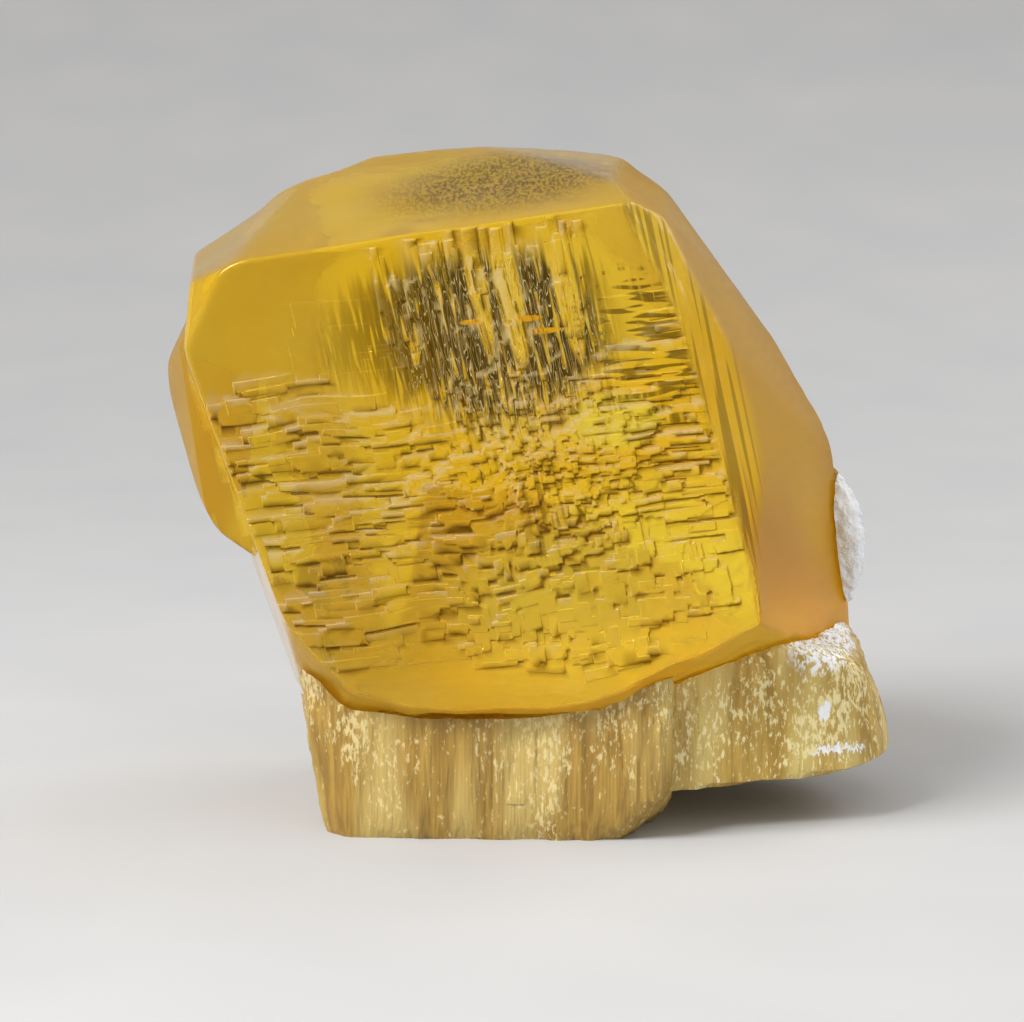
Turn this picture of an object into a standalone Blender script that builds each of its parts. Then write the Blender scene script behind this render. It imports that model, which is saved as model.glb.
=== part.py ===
"""Calcite on okenite, a cabinet mineral specimen, as three solids.

A honey-yellow calcite crystal sits in a seat on a cream, fibrous okenite base, and a white okenite
crust covers part of the crystal's back right side. +Z is up and the viewer looks along +Y.
The crystal is cut from a blank by its faces. Each face is given by its compass direction
(0 faces the viewer, 90 faces right), its tilt above the horizon, and its distance from the centre.
"""

import math
import random

import bmesh
import bpy
from mathutils import Matrix, Vector, noise

MM = 0.001

# Clearance between solids that touch, and the size of the blanks that shapes are cut from
CONTACT_GAP = 0.3 * MM
BLANK_SIZE = 200 * MM

# The calcite crystal: compass direction, tilt, distance in mm
CRYSTAL_CENTRE = Vector((-1.0, 1.0, 33.6)) * MM
CRYSTAL_FACES = {
    "front": (-2, 4, 18.0),
    "top": (-31, 73, 24.0),
    "top_left": (-75, 58, 29.0),
    "top_rim_left": (-56, 83, 26.2),
    "top_rim_right": (51, 83, 25.4),
    "left_bevel": (-52, 22, 33.7),
    "left_upper": (-86, 5, 30.3),
    "left_lower": (-80, -19, 26.1),
    "right_strip_upper": (37, 22, 25.9),
    "right_strip_lower": (47, 15, 25.0),
    "right_bevel_upper": (76, 27, 23.9),
    "right_bevel_lower": (68, 16, 24.6),
    "right_corner": (78, 60, 26.0),
    "right_shoulder": (84, 36, 24.2),
    "right_side": (68, 7, 25.4),
    "under_right": (44, -56, 28.0),
    "under_front_right": (12, -61, 28.1),
    "under_front_left": (-18, -58, 29.2),
    "under_left": (-60, -35, 29.6),
    "underside": (0, -88, 23.0),
    "back": (176, -4, 18.0),
    "back_top": (180, 50, 25.1),
    "back_top_left": (-130, 42, 28.6),
    "back_top_right": (122, 34, 23.8),
    "back_right": (120, 4, 28.0),
    "back_left": (-122, -14, 22.4),
    "under_back": (172, -50, 25.5),
}
EDGE_WEAR = 0.7 * MM
SHARP_BEND = math.radians(14)

# The seat runs out past the crystal's front, so that no okenite stands in front of the crystal
SEAT_FRONT = (-2, 4, 28.0)

# A parallel crystal that stands out of the main one's left side
SIDE_CRYSTAL_FACES = {
    "front": (-12, 2, 15.6),
    "front_left": (-69, -6, 29.7),
    "upper": (-85, 26, 31.4),
    "middle": (-88, -3, 31.0),
    "lower": (-88, -18, 28.4),
    "lower_edge": (-86, -32, 26.6),
    "under": (-75, -55, 22.0),
    "underside": (0, -88, 20.0),
    "top": (-20, 75, 16.0),
    "right": (90, 0, 4.0),
    "back": (180, 0, 9.0),
    "back_left": (-128, 6, 24.0),
}

# Growth steps on the front face, around the hillock where the growth started
HILLOCK_PLACE = (3.0 * MM, -1.2 * MM)
STEP_SLOPE = math.radians(6)
RISER_LEAN = math.radians(12)
TERRACE_COUNT = 3
TERRACE_SIZE = (17 * MM, 13 * MM)
TERRACE_HEIGHT = 0.2 * MM
TERRACE_SHRINK = 0.27
TERRACE_DRIFT = (-1.0 * MM, 0.6 * MM)

# Plates that run out from the hillock in four sectors, thinner the farther out they are.
# Sector: direction from the hillock, plate count, reach, and length and width along the steps in mm
PLATE_SECTORS = {
    "left": (180, 20, (3, 16), (5, 12), (1.4, 3.6)),
    "above": (95, 18, (2, 13), (1.2, 2.8), (5, 10)),
    "right": (5, 10, (2, 9), (4, 9), (1.2, 3.0)),
    "below": (270, 16, (2, 14), (2.2, 5.5), (1.8, 4.5)),
}
PLATE_SEED = 7
SECTOR_HALF_WIDTH = 34
THINNEST_PLATE = 0.16 * MM
PLATE_THICKENING = 0.62 * MM
THICKENING_REACH = 20 * MM
PLATE_STAGGER = 0.009 * MM
PLATE_DEPTHS = (0.7 * MM, 1.4 * MM)

# The okenite base: faces of its lobes, from the base's own centre, in the same terms
BASE_CENTRE = Vector((2.0, 2.0, 7.0)) * MM
FOOT_FACES = {
    "left": (-90, -11, 21.0),
    "left_toe": (-90, -54, 18.0),
    "front_left": (-45, -4, 26.0),
    "front": (-2, -3, 18.6),
    "front_toe": (-4, -50, 15.9),
    "right": (90, 0, 11.1),
    "right_toe": (70, -45, 13.8),
    "back": (180, 0, 15.5),
    "back_left": (-135, 0, 23.5),
    "back_toe": (180, -50, 15.5),
    "top": (0, 90, 14.0),
    "below": (0, -90, 12.0),
}
LEDGE_FACES = {
    "right": (90, 17, 30.0),
    "tip": (80, -40, 27.6),
    "under": (90, -87, 3.9),
    "front": (12, 0, 18.2),
    "front_right": (52, 4, 29.5),
    "top": (60, 75, 15.8),
    "back": (172, 0, 17.0),
    "back_right": (128, 0, 28.0),
    "left": (-90, 0, 12.0),
}
HEEL_FACES = {
    "back": (178, 10, 20.5),
    "back_left": (-140, 6, 22.0),
    "back_right": (140, 10, 21.0),
    "left": (-90, 0, 17.0),
    "right": (90, 0, 9.5),
    "top": (0, 84, 15.0),
    "front": (0, 0, 8.0),
    "under": (180, -62, 13.5),
    "below": (0, -90, 4.5),
}
# Each lobe's faces, how finely it is divided round and up, and where its fibre bundles start
LOBES = {
    "foot": (FOOT_FACES, 64, 28, 0.3),
    "ledge": (LEDGE_FACES, 60, 26, 1.7),
    "heel": (HEEL_FACES, 48, 22, 2.9),
}
BASE_ROUNDING = 22.0
POLE_TILT = math.radians(5)
BUNDLE_COUNT = 17
BUNDLE_DEPTH = 0.55 * MM
BUNDLE_SWING = 1.4
BUNDLE_GROOVE = 0.6
LUMP_SIZE = 7 * MM
LUMP_HEIGHT = 0.7 * MM

# The white crust on the back right side
CRUST_CENTRE = Vector((27.2, 9.0, 23.2)) * MM
CRUST_HALF_SIZE = Vector((2.5, 7.6, 8.2)) * MM
CRUST_COMPASS = 118
CRUST_SEGMENTS = 30
CRUST_RINGS = 18
CRUST_BOTTOM = 17.8 * MM
CRUST_LUMP_SIZE = 3.4 * MM
CRUST_LUMP_HEIGHT = 0.8 * MM


def clear_scene():
    for old in list(bpy.data.objects):
        bpy.data.objects.remove(old, do_unlink=True)


def face_normal(compass, tilt):
    """Unit vector for a compass direction and a tilt above the horizon, both in degrees."""
    around, above = math.radians(compass), math.radians(tilt)
    return Vector(
        (math.sin(around) * math.cos(above), -math.cos(around) * math.cos(above), math.sin(above))
    )


def new_material(name, colour, roughness, transmission=0.0):
    material = bpy.data.materials.new(name)
    material.use_nodes = True
    shader = material.node_tree.nodes["Principled BSDF"]
    shader.inputs["Base Color"].default_value = (*colour, 1.0)
    shader.inputs["Roughness"].default_value = roughness
    shader.inputs["Metallic"].default_value = 0.0
    shader.inputs["Transmission Weight"].default_value = transmission
    return material


def mesh_object(name, shape, collection, material=None):
    """Turns a bmesh into an object in a collection and frees the bmesh."""
    mesh = bpy.data.meshes.new(name)
    shape.to_mesh(mesh)
    shape.free()
    made = bpy.data.objects.new(name, mesh)
    collection.objects.link(made)
    if material is not None:
        mesh.materials.append(material)
    return made


def helper(name, shape, collection):
    """A tool for a Boolean, which isn't a part of the specimen."""
    made = mesh_object(name, shape, collection)
    made.hide_render = True
    made.display_type = "WIRE"
    return made


def cut_away(shape, point, outward):
    """Cuts off what stands outside a plane, and closes the cut with one flat face."""
    cut = bmesh.ops.bisect_plane(
        shape,
        geom=shape.verts[:] + shape.edges[:] + shape.faces[:],
        plane_co=point,
        plane_no=outward,
        clear_outer=True,
    )
    rim = [edge for edge in cut["geom_cut"] if isinstance(edge, bmesh.types.BMEdge)]
    if rim:
        bmesh.ops.edgeloop_fill(shape, edges=rim)
        bmesh.ops.recalc_face_normals(shape, faces=shape.faces)


def cut_from_blank(faces, centre, grow=0.0):
    """A convex crystal: a cube blank with everything outside each face's plane cut away."""
    shape = bmesh.new()
    bmesh.ops.create_cube(shape, size=BLANK_SIZE, matrix=Matrix.Translation(centre))
    for compass, tilt, distance in faces.values():
        normal = face_normal(compass, tilt)
        cut_away(shape, centre + normal * (distance * MM + grow), normal)
    return shape


def wear_edges(shape):
    """Cuts a narrow flat along each edge of a convex crystal, as wear does."""
    flats = []
    for edge in shape.edges:
        one, other = (face.normal for face in edge.link_faces)
        bend = one.angle(other)
        if bend > SHARP_BEND:
            outward = (one + other).normalized()
            middle = (edge.verts[0].co + edge.verts[1].co) / 2
            flats.append((middle - outward * EDGE_WEAR * math.sin(bend / 2), outward))
    for point, outward in flats:
        cut_away(shape, point, outward)
    return shape


def reach(direction, faces):
    """Distance from the centre to a rounded body bounded by the faces, along a direction."""
    closeness = 0.0
    for compass, tilt, distance in faces.values():
        facing = face_normal(compass, tilt).dot(direction)
        if facing > 0.0:
            closeness += (facing / (distance * MM)) ** BASE_ROUNDING
    return closeness ** (-1.0 / BASE_ROUNDING)


def bundle_relief(direction, phase):
    """Height of the upright fibre bundles: rounded ribs with sharp grooves, fading to the poles."""
    around = math.atan2(direction.x, -direction.y)
    swing = BUNDLE_SWING * noise.noise(Vector((around, phase, direction.z)) * BUNDLE_SWING)
    rib = abs(math.sin(0.5 * BUNDLE_COUNT * around + swing + phase))
    return BUNDLE_DEPTH * (rib - BUNDLE_GROOVE) * math.sqrt(max(0.0, 1.0 - direction.z**2))


def okenite_lobe(name, grow=0.0):
    """A sphere primitive drawn out to the rounded body of the lobe's faces, with bundles and lumps."""
    faces, segments, rings, phase = LOBES[name]
    shape = bmesh.new()
    turn = Matrix.Rotation(phase, 4, "Z") @ Matrix.Rotation(POLE_TILT, 4, "X")
    bmesh.ops.create_uvsphere(shape, u_segments=segments, v_segments=rings, radius=1.0, matrix=turn)
    for vert in shape.verts:
        direction = vert.co.normalized()
        place = BASE_CENTRE + direction * reach(direction, faces)
        lump = LUMP_HEIGHT * noise.noise(place / LUMP_SIZE + Vector((phase, 0, 0)))
        vert.co = place + direction * (bundle_relief(direction, phase) + lump + grow)
    return shape


def crust_body():
    """A flattened lump of short fibres, standing on the crystal's back right side."""
    shape = bmesh.new()
    bmesh.ops.create_uvsphere(shape, u_segments=CRUST_SEGMENTS, v_segments=CRUST_RINGS, radius=1.0)
    turn = Matrix.Rotation(math.radians(CRUST_COMPASS - 90), 3, "Z")
    for vert in shape.verts:
        direction = vert.co.normalized()
        place = Vector(
            (
                direction.x * CRUST_HALF_SIZE.x,
                direction.y * CRUST_HALF_SIZE.y,
                direction.z * CRUST_HALF_SIZE.z,
            )
        )
        place += direction * CRUST_LUMP_HEIGHT * noise.noise(place / CRUST_LUMP_SIZE)
        vert.co = CRUST_CENTRE + turn @ place
    cut_away(shape, Vector((0, 0, CRUST_BOTTOM)), Vector((0, 0, -1)))
    return shape


def front_face_axes():
    """The hillock's place, and the axes there: along the steps, up the risers, out of the face."""
    compass, tilt, distance = CRYSTAL_FACES["front"]
    outward = face_normal(compass, tilt)
    across = Vector((0, 0, 1)).cross(outward).normalized()
    upward = outward.cross(across)
    hillock = CRYSTAL_CENTRE + outward * distance * MM
    hillock += across * HILLOCK_PLACE[0] + upward * HILLOCK_PLACE[1]
    along_steps = across * math.cos(STEP_SLOPE) + upward * math.sin(STEP_SLOPE)
    up_risers = upward * math.cos(RISER_LEAN) - across * math.sin(RISER_LEAN)
    return hillock, along_steps, up_risers, outward


def growth_plate(name, at, length, width, height, depth, collection):
    """One growth step: a parallelogram plate, sunk into the front face, that stands out by height."""
    hillock, along, up, outward = front_face_axes()
    centre = hillock + along * at[0] + up * at[1] + outward * (height - depth) / 2
    shear = Matrix((along * length, up * width, outward * (height + depth))).transposed()
    shape = bmesh.new()
    bmesh.ops.create_cube(shape, size=1.0, matrix=Matrix.Translation(centre) @ shear.to_4x4())
    return helper(name, shape, collection)


def growth_plates(collection):
    """Nested terraces on the hillock, and plates that run out from it in four sectors."""
    draw = random.Random(PLATE_SEED)
    plates = []
    for level in range(TERRACE_COUNT):
        at = (TERRACE_DRIFT[0] * level, TERRACE_DRIFT[1] * level)
        length, width = (side * (1.0 - TERRACE_SHRINK * level) for side in TERRACE_SIZE)
        height = TERRACE_HEIGHT * (level + 1)
        depth = PLATE_DEPTHS[0] + height
        plates.append(growth_plate(f"terrace_{level}", at, length, width, height, depth, collection))
    for sector, (heading, count, far, lengths, widths) in PLATE_SECTORS.items():
        for number in range(count):
            bearing = math.radians(heading + draw.uniform(-SECTOR_HALF_WIDTH, SECTOR_HALF_WIDTH))
            away = draw.uniform(*far) * MM
            at = (away * math.cos(bearing), away * math.sin(bearing))
            thickening = PLATE_THICKENING * (1.0 - away / THICKENING_REACH) * draw.random()
            height = THINNEST_PLATE + thickening + PLATE_STAGGER * number
            depth = draw.uniform(*PLATE_DEPTHS)
            length = draw.uniform(*lengths) * MM
            width = draw.uniform(*widths) * MM
            name = f"plate_{sector}_{number:02d}"
            plates.append(growth_plate(name, at, length, width, height, depth, collection))
    return plates


def join_or_cut(body, operation, tool):
    """Adds an exact Boolean to body, named for its tool."""
    modifier = body.modifiers.new(tool.name, "BOOLEAN")
    modifier.operation = operation
    modifier.solver = "EXACT"
    modifier.object = tool


def floor_block():
    """Everything below the flat that the base rests on."""
    shape = bmesh.new()
    below = Matrix.Translation(Vector((0, 0, -BLANK_SIZE / 2)))
    bmesh.ops.create_cube(shape, size=BLANK_SIZE, matrix=below)
    return shape


def make_calcite(parts, tools, plates):
    honey = new_material("honey_calcite", (0.93, 0.62, 0.10), 0.12, transmission=0.9)
    main = wear_edges(cut_from_blank(CRYSTAL_FACES, CRYSTAL_CENTRE))
    calcite = mesh_object("calcite_crystal", main, parts, honey)
    side = wear_edges(cut_from_blank(SIDE_CRYSTAL_FACES, CRYSTAL_CENTRE))
    join_or_cut(calcite, "UNION", helper("side_crystal", side, tools))
    for plate in growth_plates(plates):
        join_or_cut(calcite, "UNION", plate)


def make_base(parts, tools):
    cream = new_material("cream_okenite", (0.86, 0.76, 0.55), 0.5)
    base = mesh_object("okenite_base", okenite_lobe("foot"), parts, cream)
    seat = cut_from_blank({**CRYSTAL_FACES, "front": SEAT_FRONT}, CRYSTAL_CENTRE, CONTACT_GAP)
    side_seat = cut_from_blank(SIDE_CRYSTAL_FACES, CRYSTAL_CENTRE, CONTACT_GAP)
    join_or_cut(base, "UNION", helper("ledge", okenite_lobe("ledge"), tools))
    join_or_cut(base, "UNION", helper("heel", okenite_lobe("heel"), tools))
    join_or_cut(base, "DIFFERENCE", helper("floor_block", floor_block(), tools))
    join_or_cut(base, "DIFFERENCE", helper("seat", seat, tools))
    join_or_cut(base, "DIFFERENCE", helper("side_seat", side_seat, tools))


def make_crust(parts, tools):
    white = new_material("white_okenite", (0.90, 0.91, 0.92), 0.7)
    crust = mesh_object("okenite_crust", crust_body(), parts, white)
    join_or_cut(crust, "DIFFERENCE", bpy.data.objects["seat"])
    for lobe in ("ledge", "heel"):
        clearance = okenite_lobe(lobe, grow=CONTACT_GAP)
        join_or_cut(crust, "DIFFERENCE", helper(f"{lobe}_clearance", clearance, tools))


def main():
    clear_scene()
    parts = bpy.data.collections.new("calcite_on_okenite")
    tools = bpy.data.collections.new("cutters")
    plates = bpy.data.collections.new("growth_plates")
    for collection in (parts, tools, plates):
        bpy.context.scene.collection.children.link(collection)
    make_calcite(parts, tools, plates)
    make_base(parts, tools)
    make_crust(parts, tools)


main()
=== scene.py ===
import math

import bpy
import numpy as np
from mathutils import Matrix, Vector


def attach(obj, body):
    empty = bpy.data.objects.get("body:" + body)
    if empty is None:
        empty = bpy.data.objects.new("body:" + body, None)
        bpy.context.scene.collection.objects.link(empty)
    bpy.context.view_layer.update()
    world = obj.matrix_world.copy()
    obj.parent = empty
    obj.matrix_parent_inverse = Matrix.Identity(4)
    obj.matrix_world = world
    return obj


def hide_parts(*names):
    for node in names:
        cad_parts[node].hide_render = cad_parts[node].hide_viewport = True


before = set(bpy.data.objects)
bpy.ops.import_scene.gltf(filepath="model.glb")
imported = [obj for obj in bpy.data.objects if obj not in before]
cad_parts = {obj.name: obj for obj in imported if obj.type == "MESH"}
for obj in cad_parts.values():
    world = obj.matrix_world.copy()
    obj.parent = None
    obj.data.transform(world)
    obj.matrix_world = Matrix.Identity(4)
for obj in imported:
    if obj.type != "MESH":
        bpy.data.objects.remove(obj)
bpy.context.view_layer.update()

mm = 0.001

# Calcite crystal: faces as compass direction, tilt and distance in mm from the centre, as in the CAD source
calcite = {
    "centre": (-1.0, 1.0, 33.6),
    "faces": {
        "front": (-2, 4, 18.0), "top": (-31, 73, 24.0), "topLeft": (-75, 58, 29.0),
        "topRimLeft": (-56, 83, 26.2), "topRimRight": (51, 83, 25.4), "leftBevel": (-52, 22, 33.7),
        "leftUpper": (-86, 5, 30.3), "leftLower": (-80, -19, 26.1),
        "rightStripUpper": (37, 22, 25.9), "rightStripLower": (47, 15, 25.0),
        "rightBevelUpper": (76, 27, 23.9), "rightBevelLower": (68, 16, 24.6), "rightCorner": (78, 60, 26.0),
        "rightShoulder": (84, 36, 24.2), "rightSide": (68, 7, 25.4), "underRight": (44, -56, 28.0),
        "underFrontRight": (12, -61, 28.1), "underFrontLeft": (-18, -58, 29.2),
        "underLeft": (-60, -35, 29.6), "underside": (0, -88, 23.0),
        "back": (176, -4, 18.0), "backTop": (180, 50, 25.1),
        "backTopLeft": (-130, 42, 28.6), "backTopRight": (122, 34, 23.8), "backRight": (120, 4, 28.0),
        "backLeft": (-122, -14, 22.4), "underBack": (172, -50, 25.5),
    },
    "sideFaces": {
        "front": (-12, 2, 15.6), "frontLeft": (-69, -6, 29.7), "upper": (-85, 26, 31.4),
        "middle": (-88, -3, 31.0), "lower": (-88, -18, 28.4), "lowerEdge": (-86, -32, 26.6),
        "under": (-75, -55, 22.0),
        "underside": (0, -88, 20.0), "top": (-20, 75, 16.0), "right": (90, 0, 4.0), "back": (180, 0, 9.0),
        "backLeft": (-128, 6, 24.0),
    },
    # which faces share a finish
    "strips": ("rightStripUpper", "rightStripLower"),
    "frosted": ("rightSide", "rightBevelUpper", "rightBevelLower", "rightShoulder", "rightCorner"),
    "backs": ("back", "backTop", "backTopLeft", "backTopRight", "backRight", "backLeft", "underBack"),
    "unders": ("underRight", "underFrontRight", "underFrontLeft", "underLeft", "underside"),
    "tops": ("top", "topLeft", "topRimLeft", "topRimRight"),
    "edgeSharpness": 150, "backSharpness": 16,
    "hillock": (3.0, -1.2),       # where the growth started, across and up the front face
    "stepSlope": 6,               # degrees that the growth steps climb to the right
    "riserLean": 12,              # degrees that the risers lean to the left
    "frontReach": ((-31, 20), (-25, 23)),   # how far the fine grid runs from the hillock, along and up
    "frontLines": 500,
    "sideRings": 110,
    "finestAt": 20,               # the grid's lines stand twice as far apart about this far out
    "turnStart": 54,              # degrees from the hillock to where the rings begin
    "crackleAt": (16.2, -10.9), "crackleSpread": 22,
    "triangles": 196000, "creaseAngle": 14,
}
growth = {
    "seed": 11,
    "terraces": 15, "terraceSize": (40, 34), "smallestTerrace": (3.2, 2.4), "terraceRise": 0.035,
    "bites": 9, "drift": (-1.6, 1.2),
    # heading, half width, count, how far out, length and width in mm, rise in mm, tilt in degrees
    "sectors": {
        "left": (190, 34, 420, (3, 26), (1.5, 9), (0.35, 1.7), (0.02, 0.13), 0.8),
        "right": (4, 38, 330, (2, 18), (1.5, 9), (0.3, 1.3), (0.02, 0.13), 1.2),
        "above": (97, 32, 300, (2.5, 19), (0.25, 1.3), (2, 9), (0.02, 0.15), 2.2),
        "below": (272, 46, 380, (2, 19), (0.7, 3.6), (0.4, 2.6), (0.02, 0.11), 1.2),
        "middle": (90, 180, 420, (0, 9), (0.4, 2.0), (0.3, 1.2), (0.04, 0.17), 2.4),
    },
    "moundLines": 60, "moundCut": 0.8, "boost": 0.9, "wander": 0.35, "wanderSize": 6.0,
}


def unitVectors(angles):
    # n = (sin a cos t, -cos a cos t, sin t) for compass direction a and tilt t
    around, above = np.radians(np.asarray(angles, float)).T
    return np.stack([np.sin(around) * np.cos(above), -np.cos(around) * np.cos(above), np.sin(above)], -1)


def reachOf(directions, faces, sharpness):
    # r = (sum of (n.d / distance)^k)^(-1/k): the distance to a body with slightly worn edges
    table = np.array(list(faces.values()), float)
    closeness = np.maximum(directions @ unitVectors(table[:, :2]).T / table[:, 2], 1e-9)
    nearest = closeness.max(-1, keepdims=True)
    shares = (closeness / nearest) ** sharpness
    total = shares.sum(-1, keepdims=True)
    return (1 / (nearest * total ** (1 / sharpness)))[..., 0], shares / total


def softNoise(places, seed, lattice=32):
    # random numbers from -1 to 1 on a lattice, blended by 3t^2 - 2t^3 along each axis
    table = np.random.default_rng(seed).uniform(-1, 1, (lattice,) * 3)
    low = np.floor(places).astype(int)
    t = places - low
    t = t * t * (3 - 2 * t)
    total = np.zeros(len(places))
    for corner in np.ndindex(2, 2, 2):
        i, j, k = ((low + corner) % lattice).T
        total += np.prod(np.where(corner, t, 1 - t), -1) * table[i, j, k]
    return total


def newPiece(name, places, triangles, material):
    mesh = bpy.data.meshes.new(name)
    mesh.vertices.add(len(places))
    mesh.vertices.foreach_set("co", np.ascontiguousarray(places * mm, np.float32).ravel())
    mesh.loops.add(triangles.size)
    mesh.loops.foreach_set("vertex_index", np.ascontiguousarray(triangles, np.int32).ravel())
    mesh.polygons.add(len(triangles))
    mesh.polygons.foreach_set("loop_start", np.arange(0, triangles.size, 3, dtype=np.int32))
    mesh.update(calc_edges=True)
    piece = bpy.data.objects.new(name, mesh)
    bpy.context.scene.collection.objects.link(piece)
    if material:
        mesh.materials.append(material)
    return piece


def setAttribute(piece, name, values):
    attribute = piece.data.attributes.new(name, "FLOAT", "POINT")
    attribute.data.foreach_set("value", np.ascontiguousarray(values, np.float32))


def keepModifiers(piece):
    # replaces the piece's mesh with what its modifiers make of it
    bpy.context.view_layer.update()
    evaluated = piece.evaluated_get(bpy.context.evaluated_depsgraph_get())
    old = piece.data
    piece.data = bpy.data.meshes.new_from_object(evaluated)
    piece.modifiers.clear()
    bpy.data.meshes.remove(old)


def frontAxes():
    outward = unitVectors([calcite["faces"]["front"][:2]])[0]
    across = np.cross((0, 0, 1), outward)
    across /= np.linalg.norm(across)
    upward = np.cross(outward, across)
    slope, lean = math.radians(calcite["stepSlope"]), math.radians(calcite["riserLean"])
    alongSteps = across * math.cos(slope) + upward * math.sin(slope)
    upRisers = upward * math.cos(lean) - across * math.sin(lean)
    toHillock = outward * calcite["faces"]["front"][2]
    toHillock = toHillock + across * calcite["hillock"][0] + upward * calcite["hillock"][1]
    return alongSteps, upRisers, outward, toHillock


def spreadLines(share, span):
    # x = a sinh(t): even steps in t, so that lines stand closest at the hillock
    a = calcite["finestAt"]
    low, high = math.asinh(span[0] / a), math.asinh(span[1] / a)
    return a * np.sinh(low + (high - low) * share)


def addPlate(relief, pLines, qLines, at, size, rise, tilt):
    i0, i1 = np.searchsorted(pLines, (at[0] - size[0] / 2, at[0] + size[0] / 2))
    j0, j1 = np.searchsorted(qLines, (at[1] - size[1] / 2, at[1] + size[1] / 2))
    slopeP, slopeQ = (math.tan(math.radians(angle)) for angle in tilt)
    lean = slopeP * (pLines[i0:i1, None] - at[0]) + slopeQ * (qLines[None, j0:j1] - at[1])
    if i1 > i0 and j1 > j0:
        covered = relief[i0:i1, j0:j1]
        covered[:] = covered.mean() + rise + lean


def blurred(values, lines):
    # each column averaged with the weights exp(-x^2), where x runs from -2 to 2 over the lines on both sides
    weights = np.exp(-np.linspace(-2, 2, 2 * lines + 1) ** 2)
    weights = weights / weights.sum()
    padded = np.pad(values, ((lines, lines), (0, 0)), "edge")
    return np.apply_along_axis(np.convolve, 0, padded, weights, "valid")


def growthRelief(pLines, qLines):
    # height in mm over the front face: blocky terraces round the hillock, and plates in sectors about it
    draw = np.random.default_rng(growth["seed"])
    relief = np.zeros((len(pLines), len(qLines)))
    for level in range(growth["terraces"]):
        share = (level / (growth["terraces"] - 1)) ** 0.8
        size = [a + (b - a) * share for a, b in zip(growth["terraceSize"], growth["smallestTerrace"])]
        centre = [d * share for d in growth["drift"]]
        terrace = np.zeros_like(relief)
        for bite in range(growth["bites"]):
            block = draw.uniform(0.35, 1.0, 2) * size
            at = centre + draw.uniform(-0.5, 0.5, 2) * (size - block)
            addPlate(terrace, pLines, qLines, at, block, 1.0, (0, 0))
        relief += growth["terraceRise"] * (terrace > 0)
    plates = []
    for heading, halfWidth, count, away, lengths, widths, rises, tilt in growth["sectors"].values():
        for plate in range(count):
            bearing = math.radians(heading + draw.uniform(-halfWidth, halfWidth))
            out = draw.uniform(*away)
            at = (out * math.cos(bearing), out * math.sin(bearing))
            size = (draw.uniform(*lengths), draw.uniform(*widths))
            order = size[0] * size[1] * draw.uniform(0.3, 1)
            plates.append((order, at, size, draw.uniform(*rises), draw.uniform(-tilt, tilt, 2)))
    # large plates lie under small ones
    for order, at, size, rise, tilt in sorted(plates, key=lambda plate: -plate[0]):
        addPlate(relief, pLines, qLines, at, size, rise, tilt)
    # the broad mound under the steps is lowered, so that the plates overlap like shingles
    mound = blurred(blurred(relief, growth["moundLines"]).T, growth["moundLines"]).T
    relief = (relief - growth["moundCut"] * mound) * growth["boost"]
    print(f"growth steps: {len(plates)} plates, {relief.min():.2f} to {relief.max():.2f} mm")
    return relief


def calciteGrid():
    # the front's lines cross in a square grid, and rings run on round it towards the back
    lines, rings = calcite["frontLines"], calcite["sideRings"]
    side = lines + 2 * rings
    middle = (side - 1) / 2
    grid = np.meshgrid(np.arange(side), np.arange(side), indexing="ij")
    inner = [np.clip(k, rings, rings + lines - 1) for k in grid]
    ring = np.maximum(abs(grid[0] - inner[0]), abs(grid[1] - inner[1]))
    shrink = (lines - 1) / 2 / ((lines - 1) / 2 + ring)
    p, q = (spreadLines(((k - middle) * shrink + (lines - 1) / 2) / (lines - 1), span).ravel()
            for k, span in zip(grid, calcite["frontReach"]))
    return p, q, ring, tuple(k - rings for k in inner)


def wrapRays(p, q, ring):
    # a ray from the centre turns from the hillock's side to the back as the rings run out
    alongSteps, upRisers, _, toHillock = frontAxes()
    start = math.radians(calcite["turnStart"])
    turn = start + (math.pi - start) * (ring / calcite["sideRings"]) ** 1.05
    sideways, forward = np.sin(turn) / math.sin(start), np.cos(turn) / math.cos(start)
    rays = (p * sideways)[:, None] * alongSteps + (q * sideways)[:, None] * upRisers
    rays += forward[:, None] * toHillock
    return rays / np.linalg.norm(rays, axis=-1, keepdims=True)


def closedTriangles(ring):
    # two triangles for each square of the grid, with the whole outermost ring drawn together in one pole
    numbers = np.arange(ring.size).reshape(ring.shape)
    border = ring == calcite["sideRings"]
    numbers[border] = np.flatnonzero(border.ravel())[0]
    a, b, c, d = numbers[:-1, :-1], numbers[1:, :-1], numbers[1:, 1:], numbers[:-1, 1:]
    triangles = np.concatenate([np.stack(corners, -1).reshape(-1, 3) for corners in ((a, b, c), (a, c, d))])
    first, second, third = triangles.T
    apart = (first != second) & (second != third) & (third != first)
    used, renumbered = np.unique(triangles[apart], return_inverse=True)
    return used, renumbered.reshape(-1, 3)


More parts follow.
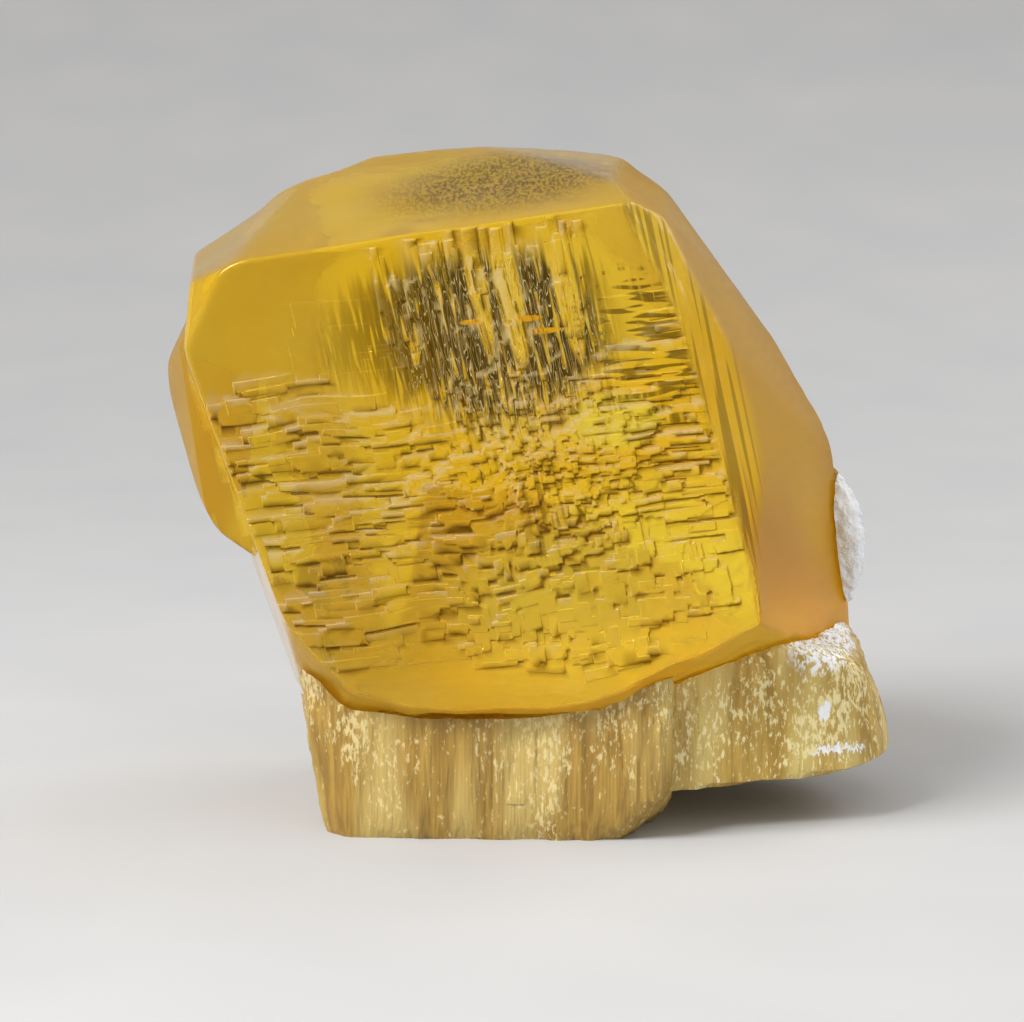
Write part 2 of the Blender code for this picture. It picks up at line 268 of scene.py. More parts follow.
def calciteSurface():
    p, q, ring, onFront = calciteGrid()
    used, triangles = closedTriangles(ring)
    ring = ring.ravel()
    even = np.linspace(0, 1, calcite["frontLines"])
    pLines, qLines = (spreadLines(even, span) for span in calcite["frontReach"])
    steps = growthRelief(pLines, qLines)
    # painted shade on the lower and right edges of the plates, and painted highlights on the upper and left:
    # how fast the height falls that way
    falls = np.gradient(steps, qLines, axis=1) - 0.5 * np.gradient(steps, pLines, axis=0)
    stepShade = np.clip(falls * 1.6 - 0.4, 0, 0.9)[onFront].ravel()
    stepLight = np.clip(-falls * 0.7 - 0.25, 0, 0.6)[onFront].ravel()
    relief = steps[onFront].ravel()
    # steps wander a little from straight lines
    flat = np.stack([p, q, 0 * p], -1) / growth["wanderSize"]
    fade = 1 - ring / calcite["sideRings"]
    p = p + growth["wander"] * softNoise(flat + 5.3, 21) * fade
    q = q + growth["wander"] * softNoise(flat + 9.1, 22) * fade

    outward = frontAxes()[2]
    rays = wrapRays(p, q, ring)
    reach, shares = reachOf(rays, calcite["faces"], calcite["edgeSharpness"])
    sideReach = reachOf(rays, calcite["sideFaces"], calcite["edgeSharpness"])[0]
    # the hidden back is more worn than the front
    behind = np.clip(-2.5 * rays @ outward - 0.6, 0, 1)
    reach += (reachOf(rays, calcite["faces"], calcite["backSharpness"])[0] - reach) * behind
    onSide = sideReach > reach
    places = np.array(calcite["centre"]) + rays * np.maximum(reach, sideReach)[:, None]
    share = {name: np.where(onSide, 0, shares[:, number]) for number, name in enumerate(calcite["faces"])}

    front = np.clip(share["front"] * 1.6 - 0.3, 0, 1)
    places += outward * (relief * front)[:, None]
    strips, frosted, backs, unders, tops = (
        sum(share[name] for name in calcite[group])
        for group in ("strips", "frosted", "backs", "unders", "tops"))
    backs = backs + unders
    # striae run down the strips beside the front face
    striae = softNoise(places * (1.6, 1.6, 0.12) + 3.1, 31) + 0.5 * softNoise(places * (3.4, 3.4, 0.2), 32)
    rolls = softNoise(places / 6.0 + 7.7, 33)
    lumps = softNoise(places / 2.1 + 1.7, 34)
    crackleP, crackleQ = calcite["crackleAt"]
    crackle = np.exp(-((p - crackleP) ** 2 + (q - crackleQ) ** 2) / calcite["crackleSpread"]) * front
    chips = softNoise(places / 0.7, 35) + 0.5 * softNoise(places / 0.35, 36)
    move = 0.09 * striae * strips + 0.10 * rolls * (frosted + tops) + (0.55 * rolls + 0.22 * lumps) * backs
    move += 0.16 * chips * crackle - 0.12 * (crackle > 0.2)
    places += rays * move[:, None]

    masks = {"frost": np.clip(frosted + onSide * 0.8, 0, 1), "frontFace": share["front"], "strips": strips,
             "backs": backs, "tops": tops, "stepShade": stepShade * front, "stepLight": stepLight * front}
    return places[used], triangles, {name: mask[used] for name, mask in masks.items()}


def newMaterial(name):
    material = bpy.data.materials.new(name)
    material.use_nodes = True
    tree = material.node_tree
    return material, tree, tree.nodes["Principled BSDF"], tree.nodes["Material Output"]


def addNode(tree, kind, links=None, **values):
    node = tree.nodes.new(kind)
    for name, value in values.items():
        setattr(node, name, value)
    for socket, source in (links or {}).items():
        if hasattr(source, "links"):
            tree.links.new(source, node.inputs[socket])
        else:
            node.inputs[socket].default_value = source
    return node


def stretchedNoise(tree, scale, stretch, detail=4.0, roughness=0.55):
    place = addNode(tree, "ShaderNodeTexCoord").outputs["Object"]
    mapped = addNode(tree, "ShaderNodeMapping", {"Vector": place, "Scale": stretch})
    noise = addNode(tree, "ShaderNodeTexNoise", {
        "Vector": mapped.outputs[0], "Scale": scale, "Detail": detail, "Roughness": roughness})
    return noise.outputs["Fac"]


def mixColour(tree, factor, one, other, blend="MIX"):
    node = tree.nodes.new("ShaderNodeMix")
    node.data_type = "RGBA"
    node.blend_type = blend
    for socket, source in ((node.inputs["Factor"], factor), (node.inputs[6], one), (node.inputs[7], other)):
        if hasattr(source, "links"):
            tree.links.new(source, socket)
        else:
            socket.default_value = (*source, 1) if isinstance(source, tuple) else source
    return node.outputs[2]


def maths(tree, operation, *values):
    node = tree.nodes.new("ShaderNodeMath")
    node.operation = operation
    for socket, source in zip(node.inputs, values):
        if hasattr(source, "links"):
            tree.links.new(source, socket)
        else:
            socket.default_value = source
    return node.outputs[0]


def vectorMaths(tree, operation, *values):
    node = addNode(tree, "ShaderNodeVectorMath", dict(enumerate(values)), operation=operation)
    return node.outputs["Value" if operation in ("DOT_PRODUCT", "LENGTH") else "Vector"]


def frontPlace(tree):
    # (p, q) in mm: how far a point lies from the hillock along the steps and up the risers
    alongSteps, upRisers, outward, toHillock = frontAxes()
    hillock = np.array(calcite["centre"]) + toHillock
    inverse = np.linalg.inv(np.stack([alongSteps, upRisers, outward], -1)) / mm
    place = addNode(tree, "ShaderNodeTexCoord").outputs["Object"]
    away = vectorMaths(tree, "SUBTRACT", place, tuple(hillock * mm))
    p, q = (vectorMaths(tree, "DOT_PRODUCT", away, tuple(row)) for row in inverse[:2])
    return p, q, addNode(tree, "ShaderNodeCombineXYZ", {"X": p, "Y": q}).outputs[0]


def flatNoise(tree, flat, sizes, detail=1.0, offset=0.0):
    # noise over a pair of lengths in mm, drawn out to the sizes given
    scaled = vectorMaths(tree, "MULTIPLY_ADD", flat, (1 / sizes[0], 1 / sizes[1], 0), (0, 0, offset))
    noise = addNode(tree, "ShaderNodeTexNoise", {"Vector": scaled, "Scale": 1.0, "Detail": detail})
    return noise.outputs["Fac"]


def smoothStep(tree, value, low, high, bottom=0.0, top=1.0):
    return addNode(tree, "ShaderNodeMapRange", {
        "Value": value, "From Min": low, "From Max": high, "To Min": bottom, "To Max": top},
        interpolation_type="SMOOTHSTEP").outputs[0]


def spot(tree, flat, centre, radii, edge=0.5):
    # 1 inside the ellipse |((p, q) - centre) / radii| = 1, fading to 0 across its edge
    scale = (1 / radii[0], 1 / radii[1], 0)
    shift = (-centre[0] / radii[0], -centre[1] / radii[1], 0)
    length = vectorMaths(tree, "LENGTH", vectorMaths(tree, "MULTIPLY_ADD", flat, scale, shift))
    return smoothStep(tree, length, math.sqrt(1 + edge), math.sqrt(max(0, 1 - edge)))


def highest(tree, *values):
    total = values[0]
    for value in values[1:]:
        total = maths(tree, "MAXIMUM", total, value)
    return total


def times(tree, *values):
    total = values[0]
    for value in values[1:]:
        total = maths(tree, "MULTIPLY", total, value)
    return total


# Finish of the calcite. A spot is its centre and radii in mm from the hillock, and how soft its edge is.
honey = {
    "clear": ((0.98, 0.64, 0.025), (0.96, 0.70, 0.07)), "frosted": ((0.60, 0.35, 0.012), (0.74, 0.48, 0.04)),
    # glowing is painted light and shaded is painted shade; the glow spots below place the painted light
    "glowing": (1.0, 0.87, 0.09), "shaded": (0.72, 0.51, 0.05), "darkMarksAndShade": (0.014, 0.010, 0.006),
    # the stepShade and stepLight colours are painted shade and painted highlights on the steps
    "stepShade": (0.06, 0.03, 0.004), "stepLight": (1.0, 0.94, 0.68), "orange": (0.95, 0.50, 0.02),
    "columnSize": (0.45, 4.5), "layerSize": (2.6, 0.45), "striaSize": (0.3, 15),
    "glow": ((7, 2.8), (4.2, 2.4)), "wideGlow": ((5, -12), (16, 9), 0.8),
    # the dark patch and the streaks are painted shade, where dark surroundings show through
    "darkSeenThrough": ((-3.0, 12.0), (12.0, 8.4), 0.4), "streaks": ((11.5, 9.0), (6.5, 6.5)),
    "heart": ((-0.6, -4.0), (2.2, 5.0), 0.8), "topBand": ((-1.5, -4.0), (12, 9), 0.8),
    "upperSteps": ((-1.5, 11), (9, 8)), "sideSteps": ((-4, -2), (20, 9), 0.8),
    "ribbons": (((-2.3, 15.5), (0.8, 6.0), 0.3), ((0.3, 15.0), (1.1, 6.5), 0.3),
                ((5.2, 15.0), (1.0, 6.5), 0.3)),
    "ledges": (((-3.5, 12.6), (0.9, 0.22), 0.4), ((1.5, 12.4), (1.2, 0.26), 0.4),
               ((2.8, 11.2), (1.4, 0.24), 0.4)),
    "roughness": 0.02, "etching": 0.10, "moreRoughness": {"frost": 0.36, "backs": 0.42, "strips": 0.25},
    "refraction": 1.5, "clearness": 0.72, "reflection": (1.0, 0.78, 0.35),
    "inside": (0.998, 0.93, 0.25), "insideDensity": 60.0,
}


def honeyCalcite():
    material, tree, shader, output = newMaterial("honeyCalcite")
    mask = {name: addNode(tree, "ShaderNodeAttribute", attribute_name=name).outputs["Fac"]
            for name in ("frost", "frontFace", "strips", "backs", "tops", "stepShade", "stepLight")}
    place = addNode(tree, "ShaderNodeTexCoord").outputs["Object"]
    flatTop = vectorMaths(tree, "MULTIPLY", place, (1 / mm,) * 3)
    p, q, flat = frontPlace(tree)
    cloud = stretchedNoise(tree, 90, (1, 1, 1), 0)
    columns = flatNoise(tree, flat, honey["columnSize"], 1, 4.1)
    layers = flatNoise(tree, flat, honey["layerSize"], 0, 2.2)
    clear = mixColour(tree, smoothStep(tree, cloud, 0.35, 0.65), *honey["clear"])
    colour = mixColour(tree, mask["frost"], clear, mixColour(tree, cloud, *honey["frosted"]))

    # painted light: a glow right of the hillock and over the lower right; painted shade on the left and the
    # top
    wideGlow = times(tree, spot(tree, flat, *honey["wideGlow"]), 0.9)
    glow = times(tree, highest(tree, spot(tree, flat, *honey["glow"]), wideGlow), mask["frontFace"])
    colour = mixColour(tree, glow, colour, honey["glowing"])
    leftShade = times(tree, smoothStep(tree, p, -4, -20), mask["frontFace"], 0.75)
    shade = highest(tree, leftShade, times(tree, mask["tops"], 0.8))
    colour = mixColour(tree, shade, colour, honey["shaded"])

    # painted shade: a dark patch behind the upper front, where dark surroundings show through, with pale
    # ribbons that run up it, and dark streaks to the right
    narrow = times(tree, smoothStep(tree, columns, 0.59, 0.65), 0.85)
    ribbons = highest(tree, narrow, *[spot(tree, flat, *ribbon) for ribbon in honey["ribbons"]])
    push = addNode(tree, "ShaderNodeCombineXYZ", {
        "X": maths(tree, "MULTIPLY_ADD", cloud, 8, -4),
        "Y": maths(tree, "MULTIPLY_ADD", columns, 12, -6)}).outputs[0]
    torn = vectorMaths(tree, "ADD", flat, push)
    upper = times(tree, spot(tree, torn, *honey["darkSeenThrough"]), maths(tree, "SUBTRACT", 1.0, ribbons),
                  smoothStep(tree, q, 20.5, 16.5), smoothStep(tree, p, -14, -4, 0.75, 0.98))
    right = times(tree, spot(tree, torn, *honey["streaks"]), smoothStep(tree, layers, 0.50, 0.60), 0.8)
    heart = times(tree, spot(tree, flat, *honey["heart"]), smoothStep(tree, columns, 0.48, 0.58), 0.5)
    darkSeenThrough = times(tree, highest(tree, upper, right, heart), mask["frontFace"])
    specks = smoothStep(tree, stretchedNoise(tree, 3600, (1, 0.35, 1), 1, 0.7), 0.38, 0.62, 0.35, 0.85)
    band = times(tree, spot(tree, flatTop, *honey["topBand"]), mask["tops"], specks)
    striae = smoothStep(tree, flatNoise(tree, flat, honey["striaSize"], 0, 6.6), 0.50, 0.60)
    striae = times(tree, striae, mask["strips"], 0.6)
    # one dark colour for the painted shade, the heart's dark columns, the top's specks and the strips'
    # striae
    colour = mixColour(tree, highest(tree, darkSeenThrough, band, striae), colour, honey["darkMarksAndShade"])

    # fine step edges: contour lines of drawn-out noise, painted as dark shade lines, with painted highlights
    # on the crests beside them
    level = maths(tree, "FRACT", maths(tree, "MULTIPLY", layers, 11.0))
    upright = maths(tree, "FRACT", maths(tree, "MULTIPLY", columns, 9.0))
    above = spot(tree, flat, *honey["upperSteps"])
    sideSteps = times(tree, smoothStep(tree, level, 0.14, 0.04), spot(tree, flat, *honey["sideSteps"]))
    upSteps = times(tree, smoothStep(tree, upright, 0.16, 0.04), above)
    edges = times(tree, highest(tree, sideSteps, upSteps), mask["frontFace"], 0.55)
    crests = times(tree, smoothStep(tree, upright, 0.2, 0.3), smoothStep(tree, upright, 0.42, 0.3), above,
                   mask["frontFace"], 0.95)
    ledges = highest(tree, *[spot(tree, flat, *ledge) for ledge in honey["ledges"]])
    # painted shade and painted highlights on the steps: the plates' and the fine lines'
    colour = mixColour(tree, highest(tree, mask["stepShade"], edges), colour, honey["stepShade"])
    colour = mixColour(tree, highest(tree, mask["stepLight"], crests), colour, honey["stepLight"])
    colour = mixColour(tree, times(tree, ledges, mask["frontFace"], 0.9), colour, honey["orange"])
    tree.links.new(colour, shader.inputs["Base Color"])

    etched = stretchedNoise(tree, 320, (1, 1, 5), 0)
    rough = maths(tree, "MULTIPLY_ADD", etched, honey["etching"], honey["roughness"])
    for name, more in honey["moreRoughness"].items():
        rough = maths(tree, "MULTIPLY_ADD", mask[name], more, rough)
    tree.links.new(rough, shader.inputs["Roughness"])
    shader.distribution = "GGX"
    shader.inputs["IOR"].default_value = honey["refraction"]
    shader.inputs["Transmission Weight"].default_value = honey["clearness"]
    shader.inputs["Specular Tint"].default_value = (*honey["reflection"], 1)
    inside = addNode(tree, "ShaderNodeVolumeAbsorption", {
        "Color": (*honey["inside"], 1), "Density": honey["insideDensity"]})
    tree.links.new(inside.outputs[0], output.inputs["Volume"])
    return material


print("calcite surface")
places, triangles, masks = calciteSurface()
crystal = newPiece("calciteCrystal", places, triangles, honeyCalcite())
for name, values in masks.items():
    setAttribute(crystal, name, values)
fewer = crystal.modifiers.new("fewer", "DECIMATE")
fewer.ratio = calcite["triangles"] / len(triangles)
keepModifiers(crystal)
crystal.data.shade_smooth()
crystal.data.set_sharp_from_angle(angle=math.radians(calcite["creaseAngle"]))
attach(crystal, "root")
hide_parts("calcite_crystal")
print("calcite", len(triangles), "->", len(crystal.data.polygons))


okenite = {
    "centre": (2.0, 2.0, 7.0),
    # lobe: its faces, where its fibre bundles start, and how finely it is divided round and up
    "lobes": {
        "foot": ({
            "left": (-90, -11, 21.0), "leftToe": (-90, -54, 18.0), "frontLeft": (-45, -4, 26.0),
            "front": (-2, -3, 19.0), "frontToe": (-4, -50, 17.9), "right": (90, 0, 11.1),
            "rightToe": (70, -45, 13.8), "back": (180, 0, 15.5), "backLeft": (-135, 0, 23.5),
            "backToe": (180, -50, 15.5), "top": (0, 90, 14.0), "below": (0, -90, 12.0),
        }, 0.3, 400, 130),
        "ledge": ({
            "right": (90, 17, 30.0), "tip": (80, -40, 27.6), "under": (90, -87, 3.9), "front": (12, 0, 18.2),
            "frontRight": (52, 4, 29.5), "top": (60, 75, 15.8), "back": (172, 0, 17.0),
            "backRight": (128, 0, 28.0), "left": (-90, 0, 12.0), "leftFront": (-38, 0, 17.0),
        }, 1.7, 360, 120),
        "heel": ({
            "back": (178, 10, 20.5), "backLeft": (-140, 6, 22.0), "backRight": (140, 10, 21.0),
            "left": (-90, 0, 17.0), "right": (90, 0, 9.5), "top": (0, 84, 15.0), "front": (0, 0, 8.0),
            "under": (180, -62, 13.5), "below": (0, -90, 4.5),
        }, 2.9, 260, 90),
    },
    "rounding": 22, "bundles": 17, "bundleDepth": 0.2, "bundleSwing": 1.4,
    "lumpHeight": 0.45, "lumpSize": 7.0,
    "fibreDepth": 0.16, "flakeDepth": 0.35, "fibreWidth": 0.8, "fibreLength": 9.0,
    "seatGap": 0.3, "seatFront": (-2, 4, 28.0), "seatGrid": (160, 120), "seatSharpness": 2000,
    "creaseAngle": 35, "farSide": 80,
}
crust = {
    "centre": (27.2, 9.0, 23.2), "halfSize": (2.5, 7.6, 8.2), "compass": 118, "bottom": 17.8,
    "lumpHeight": 1.0, "lumpSize": 4.0, "wool": 0.25, "rounds": 220, "rows": 120,
}


# Finish of the base and the crust. A patch is its centre and radii in mm, across and up.
cream = {
    "fibres": ((0.36, 0.22, 0.04), (0.56, 0.38, 0.10)), "pale": (0.66, 0.52, 0.22),
    # the fleck colour is pale fibre, partly painted glints
    "fleckAndGlint": (0.95, 0.87, 0.62), "snow": (0.90, 0.92, 0.95),
    # the ledge's tone is painted lighter, against the crystal's shadow
    "footTone": (0.72, 0.65, 0.44), "ledgeToneAndLight": (1.0, 0.97, 0.72),
    "fibreScale": 1100, "bandScale": 200, "sparkleScale": 2700, "clusterScale": 230,
    "snowPatch": ((26.4, 16.5), (3.8, 2.6)),
    "whiteSpots": (((27.5, 10.6), (0.9, 0.8)), ((28.3, 6.9), (2.0, 0.3))),
    "roughness": 0.50, "bump": 0.9, "bumpDepth": 0.0004,
}
white = {
    "wool": ((0.78, 0.80, 0.82), (0.95, 0.97, 1.0)), "scale": 1400,
    "roughness": 0.8, "bump": 0.9, "bumpDepth": 0.0004,
}


def creamOkenite():
    material, tree, shader, _ = newMaterial("creamOkenite")
    fibres = stretchedNoise(tree, cream["fibreScale"], (1, 1, 0.08), 2, 0.65)
    bands = stretchedNoise(tree, cream["bandScale"], (1, 1, 0.2), 1)
    colour = mixColour(tree, smoothStep(tree, fibres, 0.30, 0.70), *cream["fibres"])
    colour = mixColour(tree, smoothStep(tree, bands, 0.42, 0.68), colour, cream["pale"])
    sparkle = stretchedNoise(tree, cream["sparkleScale"], (1, 1, 0.4), 2, 0.7)
    clusters = stretchedNoise(tree, cream["clusterScale"], (1, 1, 0.45), 1)
    place = addNode(tree, "ShaderNodeTexCoord").outputs["Object"]
    x, _, z = addNode(tree, "ShaderNodeSeparateXYZ", {"Vector": place}).outputs
    # pale flecks of fibre, partly painted glints: they stand closer towards the top, where the fibre ends
    # catch the light
    raised = maths(tree, "MULTIPLY_ADD", smoothStep(tree, z, 0.003, 0.012), 0.07, sparkle)
    raised = maths(tree, "MULTIPLY_ADD", clusters, 0.55, raised)
    flecksAndGlints = times(tree, smoothStep(tree, raised, 0.86, 1.0), 0.75)
    colour = mixColour(tree, flecksAndGlints, colour, cream["fleckAndGlint"])
    # the foot is a deeper gold than the ledge, and the ledge is painted lighter against the shadow that the
    # crystal casts on it
    toneAndLight = mixColour(tree, smoothStep(tree, x, 0.009, 0.016), cream["footTone"], cream["ledgeToneAndLight"])
    colour = mixColour(tree, 1.0, colour, toneAndLight, "MULTIPLY")
    # snowy patches on the ledge, with torn edges
    flatFront = addNode(tree, "ShaderNodeCombineXYZ", {
        "X": maths(tree, "DIVIDE", x, mm), "Y": maths(tree, "DIVIDE", z, mm)}).outputs[0]
    push = addNode(tree, "ShaderNodeCombineXYZ", {
        "X": maths(tree, "MULTIPLY_ADD", clusters, 5, -2.5),
        "Y": maths(tree, "MULTIPLY_ADD", sparkle, 3, -1.5)}).outputs[0]
    torn = vectorMaths(tree, "ADD", flatFront, push)
    patch = times(tree, spot(tree, torn, *cream["snowPatch"]), smoothStep(tree, sparkle, 0.40, 0.52))
    snow = highest(tree, patch, *[spot(tree, torn, *dot) for dot in cream["whiteSpots"]])
    colour = mixColour(tree, snow, colour, cream["snow"])
    tree.links.new(colour, shader.inputs["Base Color"])
    rough = maths(tree, "MULTIPLY_ADD", flecksAndGlints, -0.25, cream["roughness"])
    tree.links.new(rough, shader.inputs["Roughness"])
    bump = addNode(tree, "ShaderNodeBump", {
        "Height": fibres, "Strength": cream["bump"], "Distance": cream["bumpDepth"]})
    tree.links.new(bump.outputs[0], shader.inputs["Normal"])
    return material


def whiteOkenite():
    material, tree, shader, _ = newMaterial("whiteOkenite")
    wool = stretchedNoise(tree, white["scale"], (1, 1, 1), 3, 0.7)
    tree.links.new(mixColour(tree, wool, *white["wool"]), shader.inputs["Base Color"])
    shader.inputs["Roughness"].default_value = white["roughness"]
    bump = addNode(tree, "ShaderNodeBump", {
        "Height": wool, "Strength": white["bump"], "Distance": white["bumpDepth"]})
    tree.links.new(bump.outputs[0], shader.inputs["Normal"])
    return material


def sphereGrid(rounds, rows, phase=0.0, tilt=0.0):
    # d = (cos a sin b, sin a sin b, cos b) on rings of equal b, with one point at each pole
    a = np.arange(rounds) * (2 * math.pi / rounds) + phase
    b = np.arange(1, rows) * (math.pi / rows)
    ringsOf = np.stack([np.outer(np.sin(b), np.cos(a)), np.outer(np.sin(b), np.sin(a)),
                        np.outer(np.cos(b), np.ones(rounds))], -1).reshape(-1, 3)
    directions = np.concatenate([[(0, 0, 1)], ringsOf, [(0, 0, -1)]])
    c, s = math.cos(tilt), math.sin(tilt)
    directions = directions @ np.array([(1, 0, 0), (0, c, s), (0, -s, c)])
    number = 1 + np.arange((rows - 1) * rounds).reshape(rows - 1, rounds)
    right = np.roll(number, -1, 1)
    quads = [np.stack([number[:-1], number[1:], right[1:]], -1),
             np.stack([number[:-1], right[1:], right[:-1]], -1)]
    top = np.stack([np.zeros(rounds, int), number[0], right[0]], -1)
    bottom = np.stack([np.full(rounds, len(directions) - 1), right[-1], number[-1]], -1)
    return directions, np.concatenate([top, bottom] + [q.reshape(-1, 3) for q in quads])


def lobePiece(name):
    faces, phase, rounds, rows = okenite["lobes"][name]
    directions, triangles = sphereGrid(rounds, rows, phase, math.radians(5))
    reach = reachOf(directions, faces, okenite["rounding"])[0]
    places = np.array(okenite["centre"]) + directions * reach[:, None]
    around = np.arctan2(directions[:, 0], -directions[:, 1])
    level = np.sqrt(np.maximum(0, 1 - directions[:, 2] ** 2))
    swing = okenite["bundleSwing"] * softNoise(
        np.stack([around, around * 0 + phase, directions[:, 2]], -1) * okenite["bundleSwing"], 41)
    rib = abs(np.sin(0.5 * okenite["bundles"] * around + swing + phase))
    move = okenite["bundleDepth"] * (rib - 0.6) * level
    move += okenite["lumpHeight"] * softNoise(places / okenite["lumpSize"] + phase, 42)
    # fibres: ridged noise drawn out upright, at three widths, with flakes broken out of the upper half
    stretch = np.array([1 / okenite["fibreWidth"]] * 2 + [1 / okenite["fibreLength"]])
    broad = 1 - 2 * abs(softNoise(places * stretch * 0.42 + 8.4, 47))
    coarse = 1 - 2 * abs(softNoise(places * stretch + 4.4, 43))
    fine = softNoise(places * stretch * (2.6, 2.6, 2.0), 44)
    move += okenite["fibreDepth"] * (broad + coarse - 0.8 + 0.5 * fine) * level
    flakes = softNoise(places * (0.75, 0.75, 0.42) + 2.9, 48) + 0.4 * softNoise(places * (2.1, 2.1, 1.1), 49)
    upperHalf = np.clip((places[:, 2] - 7) / 6, 0, 1)
    move -= okenite["flakeDepth"] * np.clip(6 * flakes - 0.9, 0, 1) * level * (0.25 + 0.75 * upperHalf)
    places += directions * move[:, None]
    return newPiece(name, places, triangles, None)


def seatPiece(name, faces):
    # the crystal's faces moved out by the gap
    grown = {key: (compass, tilt, distance + okenite["seatGap"])
             for key, (compass, tilt, distance) in faces.items()}
    directions, triangles = sphereGrid(*okenite["seatGrid"])
    reach = reachOf(directions, grown, okenite["seatSharpness"])[0]
    return newPiece(name, np.array(calcite["centre"]) + directions * reach[:, None], triangles, None)


def blockPiece(name, low, high):
    corners = np.array([(x, y, z) for x in (low[0], high[0]) for y in (low[1], high[1])
                        for z in (low[2], high[2])], float)
    sides = [(0, 1, 3, 2), (4, 6, 7, 5), (0, 4, 5, 1), (2, 3, 7, 6), (0, 2, 6, 4), (1, 5, 7, 3)]
    triangles = np.array([t for a, b, c, d in sides for t in ((a, b, c), (a, c, d))])
    return newPiece(name, corners, triangles, None)


def carve(piece, operation, tools):
    for tool in tools:
        modifier = piece.modifiers.new(tool.name, "BOOLEAN")
        modifier.operation = operation
        modifier.solver = "MANIFOLD"
        modifier.object = tool


def removeAll(tools):
    for tool in tools:
        mesh = tool.data
        bpy.data.objects.remove(tool)
        bpy.data.meshes.remove(mesh)


def crustPiece():
    directions, triangles = sphereGrid(crust["rounds"], crust["rows"])
    places = directions * crust["halfSize"]
    move = crust["lumpHeight"] * softNoise(places / crust["lumpSize"] + 2.2, 51)
    move += crust["wool"] * (softNoise(places / 0.7, 52) + 0.5 * softNoise(places / 0.35, 53))
    places += directions * move[:, None]
    turn = math.radians(crust["compass"] - 90)
    c, s = math.cos(turn), math.sin(turn)
    places = places @ np.array([(c, s, 0), (-s, c, 0), (0, 0, 1)]) + crust["centre"]
    return newPiece("okeniteCrust", places, triangles, whiteOkenite())


base, ledge, heel = (lobePiece(name) for name in okenite["lobes"])
base.name = base.data.name = "okeniteBase"
base.data.materials.append(creamOkenite())
seat = seatPiece("seat", {**calcite["faces"], "front": okenite["seatFront"]})
sideSeat = seatPiece("sideSeat", calcite["sideFaces"])
far = okenite["farSide"]
belowFloor = blockPiece("belowFloor", (-far, -far, -far), (far, far, 0))
belowCrust = blockPiece("belowCrust", (-far, -far, -far), (far, far, crust["bottom"]))
carve(base, "UNION", (ledge, heel))
carve(base, "DIFFERENCE", (belowFloor, seat, sideSeat))
keepModifiers(base)
crustObject = crustPiece()
carve(crustObject, "DIFFERENCE", (seat, belowCrust, base))
keepModifiers(crustObject)
removeAll((ledge, heel, seat, sideSeat, belowFloor, belowCrust))
for piece in (base, crustObject):
    piece.data.shade_smooth()
    piece.data.set_sharp_from_angle(angle=math.radians(okenite["creaseAngle"]))
    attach(piece, "root")
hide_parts("okenite_base")
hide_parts("okenite_crust")
print("okenite", len(base.data.polygons), len(crustObject.data.polygons))


studio = {
    "floorColours": ((0.44, 0.44, 0.45), (0.49, 0.49, 0.49)), "floorFront": -1500.0, "floorWidth": 3000.0,
    "sweepStart": 160.0, "sweepRadius": 700.0, "wallHeight": 2400.0,
    "sky": (1.0, 0.98, 0.95), "skyStrength": (0.12, 0.95), "skyReach": 0.9,     # from the horizon to high up
    # place and target in mm, size in mm, power in W
    "lights": {
        "key": ((-300, -240, 380), (0, 0, 30), (240, 240), 3.6),
        "fill": ((320, -280, 160), (0, 0, 25), (240, 240), 0.25),
        "rim": ((330, 210, 280), (0, 0, 35), (260, 200), 0.7),
    },
    "lens": 120, "sensor": 36, "elevation": 8, "framed": 92.2, "target": (-1.1, -5.0, 27.6),
}


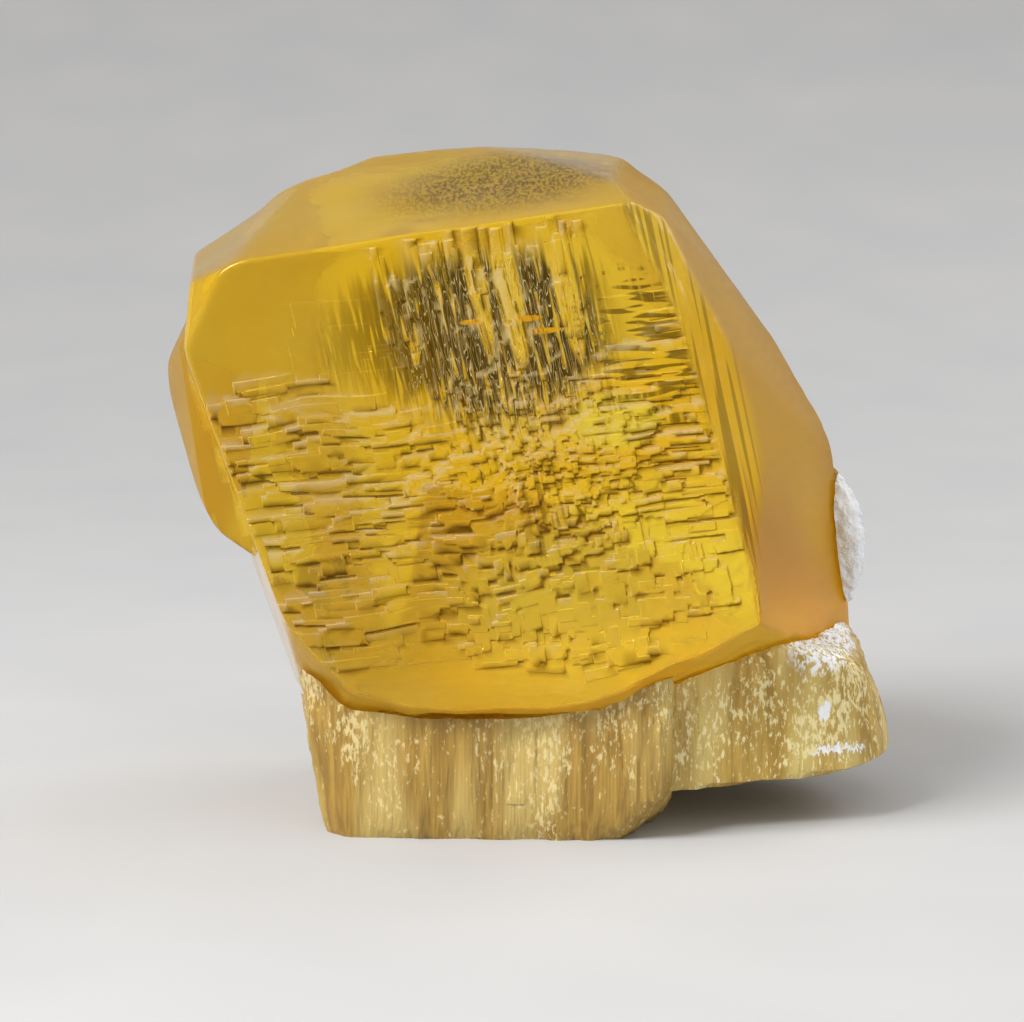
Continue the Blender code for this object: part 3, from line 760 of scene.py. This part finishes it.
def studioFloor():
    # a pale floor that sweeps up behind: y, z = straight, then a quarter circle, then straight up
    depth, radius, columns = studio["sweepStart"], studio["sweepRadius"], 9
    angle = np.linspace(0, math.pi / 2, 24)
    y = np.concatenate([[studio["floorFront"]], depth + radius * np.sin(angle), [depth + radius]])
    z = np.concatenate([[0.0], radius * (1 - np.cos(angle)), [studio["wallHeight"]]])
    x = np.linspace(-studio["floorWidth"], studio["floorWidth"], columns)
    places = np.stack([np.tile(x, len(y)), np.repeat(y, columns), np.repeat(z, columns)], -1)
    number = np.arange(len(places)).reshape(len(y), columns)
    a, b, c, d = number[:-1, :-1], number[:-1, 1:], number[1:, 1:], number[1:, :-1]
    triangles = np.concatenate([np.stack(corners, -1).reshape(-1, 3) for corners in ((a, b, c), (a, c, d))])
    material, tree, shader, _ = newMaterial("paleFloor")
    paper = stretchedNoise(tree, 40, (1, 1, 1), 1)
    tree.links.new(mixColour(tree, paper, *studio["floorColours"]), shader.inputs["Base Color"])
    shader.inputs["Roughness"].default_value = 0.7
    floor = newPiece("studioFloor", places, triangles, material)
    floor.data.shade_smooth()


def areaLight(name, place, target, size, power):
    data = bpy.data.lights.new(name, "AREA")
    data.shape = "RECTANGLE"
    data.size, data.size_y = size[0] * mm, size[1] * mm
    data.energy = power
    light = bpy.data.objects.new(name, data)
    bpy.context.scene.collection.objects.link(light)
    light.location = Vector(place) * mm
    light.rotation_euler = (Vector(target) - Vector(place)).to_track_quat("-Z", "Y").to_euler()


def studioSky():
    # light that grows from the horizon to high up
    world = bpy.data.worlds.new("studio")
    world.use_nodes = True
    tree = world.node_tree
    direction = addNode(tree, "ShaderNodeTexCoord").outputs["Generated"]
    height = addNode(tree, "ShaderNodeSeparateXYZ", {"Vector": direction}).outputs["Z"]
    low, high = studio["skyStrength"]
    rise = addNode(tree, "ShaderNodeMapRange", {
        "Value": height, "From Min": 0.0, "From Max": studio["skyReach"], "To Min": low, "To Max": high})
    background = tree.nodes["Background"]
    background.inputs["Color"].default_value = (*studio["sky"], 1)
    tree.links.new(rise.outputs[0], background.inputs["Strength"])
    bpy.context.scene.world = world


def studioCamera():
    camera = bpy.data.objects.new("camera", bpy.data.cameras.new("camera"))
    bpy.context.scene.collection.objects.link(camera)
    camera.data.lens = studio["lens"]
    camera.data.sensor_width = studio["sensor"]
    camera.data.clip_start = 0.01
    elevation, (x, y, z) = math.radians(studio["elevation"]), studio["target"]
    distance = studio["framed"] * studio["lens"] / studio["sensor"]
    y, z = y - distance * math.cos(elevation), z + distance * math.sin(elevation)
    camera.location = (x * mm, y * mm, z * mm)
    camera.rotation_euler = (math.pi / 2 - elevation, 0, 0)
    bpy.context.scene.camera = camera


studioFloor()
studioSky()
for name, light in studio["lights"].items():
    areaLight(name, *light)
studioCamera()
bpy.context.scene.view_settings.view_transform = "Standard"
print("studio, lights and camera")
